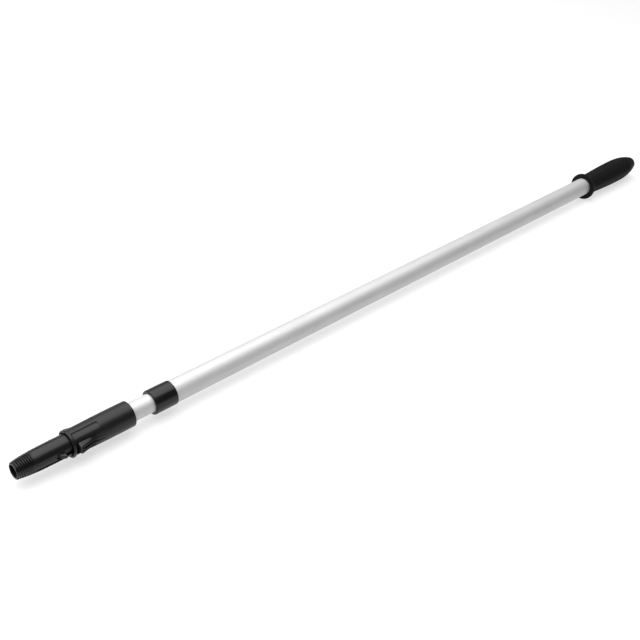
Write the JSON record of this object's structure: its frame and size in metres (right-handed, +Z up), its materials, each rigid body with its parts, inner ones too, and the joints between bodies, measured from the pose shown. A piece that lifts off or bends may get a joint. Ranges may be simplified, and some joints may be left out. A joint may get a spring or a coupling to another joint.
{
  "type": "roller extension pole",
  "caption": "Telescopic pole that holds a paint roller on a threaded nose with spring latches, locked at any length by a twist, with a ribbed rubber hand grip.",
  "frame": {"origin": "on the pole's axis, in the plane of the fitting's front lip, where a tool's socket stops", "axes": "+X along the pole from the tool end towards the hand grip, +Z up, the two release ears on +Y and -Y"},
  "size_m": [1.126, 0.04, 0.04],
  "materials": {
    "satin_aluminium": "satin anodised, drawn along the tube",
    "black_moulding": "black moulded nylon, satin",
    "collar_black": "black moulded plastic, smooth",
    "grip_rubber": "matte black rubber",
    "natural_nylon": "natural moulded nylon",
    "zinc_steel": "zinc plated"
  },
  "bodies": {
    "outer_section": {"outer_tube": "satin_aluminium", "front_collar": "collar_black", "guide_bush": "natural_nylon", "soft_grip": "grip_rubber", "tube_end_plug": "black_moulding"},
    "lock_carrier": {"guide_ring": "natural_nylon", "drag_ring": "grip_rubber"},
    "inner_section": {"inner_tube": "satin_aluminium", "nose_core": "black_moulding", "fitting_sleeve": "black_moulding", "sleeve_screw_front": "zinc_steel", "sleeve_screw_rear": "zinc_steel", "lock_plug": "natural_nylon", "plug_pin": "zinc_steel", "guide_washer": "zinc_steel", "guide_screw": "zinc_steel", "pivot_pin_right": "zinc_steel", "pivot_pin_left": "zinc_steel", "latch_spring_right": "zinc_steel", "latch_spring_left": "zinc_steel"},
    "latch_right_body": {"latch_right": "black_moulding"},
    "latch_left_body": {"latch_left": "black_moulding"},
    "cam_body": {"cam_ring": "natural_nylon"}
  },
  "joints": [
    {"name": "extend", "type": "slide", "parent": "outer_section", "child": "lock_carrier", "axis": [-1, 0, 0], "range_m": [0, 0.8]},
    {"name": "twist_lock", "type": "hinge", "parent": "lock_carrier", "child": "inner_section", "pos_m": [1.0025, 0, 0], "axis": [1, 0, 0], "range_deg": [0, 60]},
    {"name": "cam_turn", "type": "hinge", "parent": "inner_section", "child": "cam_body", "pos_m": [0.9785, 0, 0.001], "axis": [1, 0, 0], "range_deg": [-60, 0]},
    {"name": "latch_right_press", "type": "hinge", "parent": "inner_section", "child": "latch_right_body", "pos_m": [0.0385, 0.0044, 0], "axis": [0, 0, 1], "range_deg": [0, 5.5], "stiffness_Nm_per_rad": 2.5, "springref_deg": -3.44, "deforming": ["latch_spring_right"]},
    {"name": "latch_left_press", "type": "hinge", "parent": "inner_section", "child": "latch_left_body", "pos_m": [0.0385, -0.0044, 0], "axis": [0, 0, -1], "range_deg": [0, 5.5], "stiffness_Nm_per_rad": 2.5, "springref_deg": -3.44, "deforming": ["latch_spring_left"]}
  ],
  "couplings": [
    {"joint": "cam_turn", "follows": "twist_lock", "ratio": -1}
  ]
}
